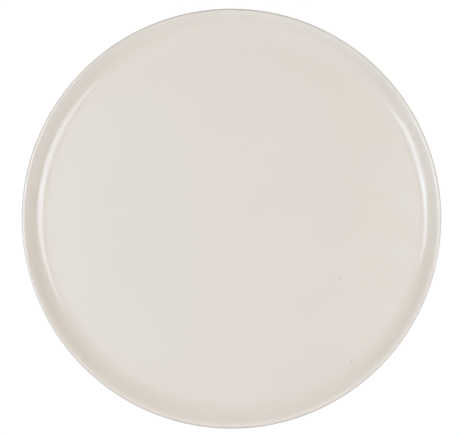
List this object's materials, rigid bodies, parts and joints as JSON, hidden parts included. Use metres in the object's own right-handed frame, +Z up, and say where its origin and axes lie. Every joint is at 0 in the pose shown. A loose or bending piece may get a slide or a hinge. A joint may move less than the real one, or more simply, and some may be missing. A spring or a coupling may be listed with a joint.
{
  "type": "pizza plate",
  "caption": "Round ivory glazed stoneware plate with a wide flat floor, a low flared rim with a rounded lip and a foot ring, for serving and cutting a whole pizza.",
  "frame": {"origin": "on the plate's axis, in the plane of the foot ring's standing face", "axes": "+Z up along the plate's axis, towards the open well; the plate is the same all round"},
  "size_m": [0.33, 0.33, 0.025],
  "materials": {
    "fired_clay": "bare fired stoneware, buff, matte and finely gritty, seen only on the foot ring",
    "ivory_glaze": "glossy ivory glaze, nearly even, with a few small dark specks"
  },
  "bodies": {
    "root": {"clay_body": "fired_clay", "face_glaze": "ivory_glaze", "base_glaze": "ivory_glaze"}
  },
  "joints": []
}
